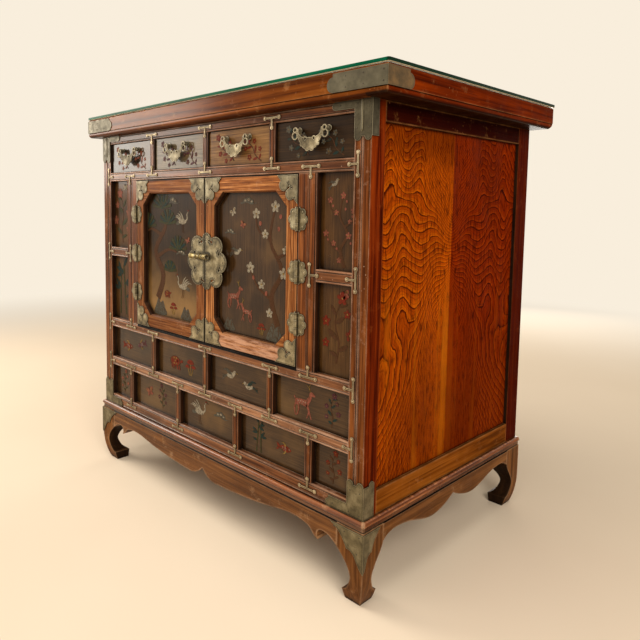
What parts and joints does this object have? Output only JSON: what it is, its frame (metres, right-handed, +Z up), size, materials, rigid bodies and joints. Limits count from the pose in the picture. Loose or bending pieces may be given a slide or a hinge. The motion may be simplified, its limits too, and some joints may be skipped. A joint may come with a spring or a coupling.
{
  "type": "scholar's cabinet",
  "caption": "Low wooden scholar's cabinet with a glass top, a drawer row, paired face-hinged doors over panelled rows, and a stand with turned-in feet.",
  "frame": {"origin": "on the floor under the middle of the glass top", "axes": "+Z up, +X along the width to the right as seen from the front, front at -Y"},
  "size_m": [0.837, 0.538, 0.797],
  "materials": {
    "frame_wood": "worn reddish-brown varnish",
    "slab_wood": "worn orange-brown varnish",
    "flame_wood": "polished figured veneer, book-matched",
    "door_wood": "orange-tan varnish with open grain",
    "lacquer_panel": "dark olive-brown lacquer with small painted motifs",
    "inner_wood": "unvarnished pale wood",
    "aged_nickel": "dull olive-grey patina",
    "pale_brass": "pale worn brass",
    "brass": "yellow brass, lightly worn",
    "glass": "clear float glass with a green edge"
  },
  "bodies": {
    "carcass": {"glass_top": "glass", "top_slab": "slab_wood", "posts_front": "frame_wood", "posts_back": "frame_wood", "rail_top": "frame_wood", "rail_drawer": "frame_wood", "rail_sill": "frame_wood", "rail_lower": "frame_wood", "rail_bottom": "frame_wood", "drawer_dividers": "frame_wood", "mullions": "frame_wood", "cross_rails": "frame_wood", "row_dividers": "frame_wood", "column_panels": "lacquer_panel", "row_panels": "lacquer_panel", "side_rails": "frame_wood", "side_panels": "flame_wood", "back_rails": "inner_wood", "back_panel": "inner_wood", "bottom_board": "inner_wood", "dust_board": "inner_wood", "drawer_guides": "inner_wood", "shelf": "inner_wood", "battens": "inner_wood", "hinge_leaves": "aged_nickel", "t_braces": "pale_brass", "slab_mounts": "aged_nickel", "post_brackets": "aged_nickel", "leg_mounts": "aged_nickel", "waist_moulding": "frame_wood", "legs_front": "frame_wood", "legs_back": "frame_wood", "apron_front": "frame_wood", "apron_sides": "frame_wood", "apron_back": "frame_wood"},
    "drawer_1": {"drawer_front_1": "lacquer_panel", "drawer_box_1": "inner_wood", "pull_posts_1": "pale_brass"},
    "bail_1": {"pull_1": "pale_brass"},
    "drawer_2": {"drawer_front_2": "lacquer_panel", "drawer_box_2": "inner_wood", "pull_posts_2": "pale_brass"},
    "bail_2": {"pull_2": "pale_brass"},
    "drawer_3": {"drawer_front_3": "lacquer_panel", "drawer_box_3": "inner_wood", "pull_posts_3": "pale_brass"},
    "bail_3": {"pull_3": "pale_brass"},
    "drawer_4": {"drawer_front_4": "lacquer_panel", "drawer_box_4": "inner_wood", "pull_posts_4": "pale_brass"},
    "bail_4": {"pull_4": "pale_brass"},
    "door_left": {"door_frame_left": "door_wood", "door_panel_left": "lacquer_panel", "door_mounts_left": "aged_nickel", "lock_plate_left": "aged_nickel"},
    "door_right": {"door_frame_right": "door_wood", "door_panel_right": "lacquer_panel", "door_mounts_right": "aged_nickel", "lock_plate_right": "aged_nickel"},
    "latch": {"latch_bar": "brass"}
  },
  "joints": [
    {"name": "drawer_1_slide", "type": "slide", "parent": "carcass", "child": "drawer_1", "axis": [0, -1, 0], "range_m": [0, 0.3]},
    {"name": "drawer_2_slide", "type": "slide", "parent": "carcass", "child": "drawer_2", "axis": [0, -1, 0], "range_m": [0, 0.3]},
    {"name": "drawer_3_slide", "type": "slide", "parent": "carcass", "child": "drawer_3", "axis": [0, -1, 0], "range_m": [0, 0.3]},
    {"name": "drawer_4_slide", "type": "slide", "parent": "carcass", "child": "drawer_4", "axis": [0, -1, 0], "range_m": [0, 0.3]},
    {"name": "bail_1_hinge", "type": "hinge", "parent": "drawer_1", "child": "bail_1", "pos_m": [-0.26775, -0.2517, 0.7165], "axis": [-1, 0, 0], "range_deg": [0, 80]},
    {"name": "bail_2_hinge", "type": "hinge", "parent": "drawer_2", "child": "bail_2", "pos_m": [-0.08925, -0.2517, 0.7165], "axis": [-1, 0, 0], "range_deg": [0, 80]},
    {"name": "bail_3_hinge", "type": "hinge", "parent": "drawer_3", "child": "bail_3", "pos_m": [0.08925, -0.2517, 0.7165], "axis": [-1, 0, 0], "range_deg": [0, 80]},
    {"name": "bail_4_hinge", "type": "hinge", "parent": "drawer_4", "child": "bail_4", "pos_m": [0.26775, -0.2517, 0.7165], "axis": [-1, 0, 0], "range_deg": [0, 80]},
    {"name": "door_left_hinge", "type": "hinge", "parent": "carcass", "child": "door_left", "pos_m": [-0.24, -0.2537, 0.4955], "axis": [0, 0, -1], "range_deg": [0, 170]},
    {"name": "door_right_hinge", "type": "hinge", "parent": "carcass", "child": "door_right", "pos_m": [0.24, -0.2537, 0.4955], "axis": [0, 0, 1], "range_deg": [0, 170]},
    {"name": "latch_slide", "type": "slide", "parent": "door_left", "child": "latch", "axis": [1, 0, 0], "range_m": [0, 0.0105]}
  ]
}
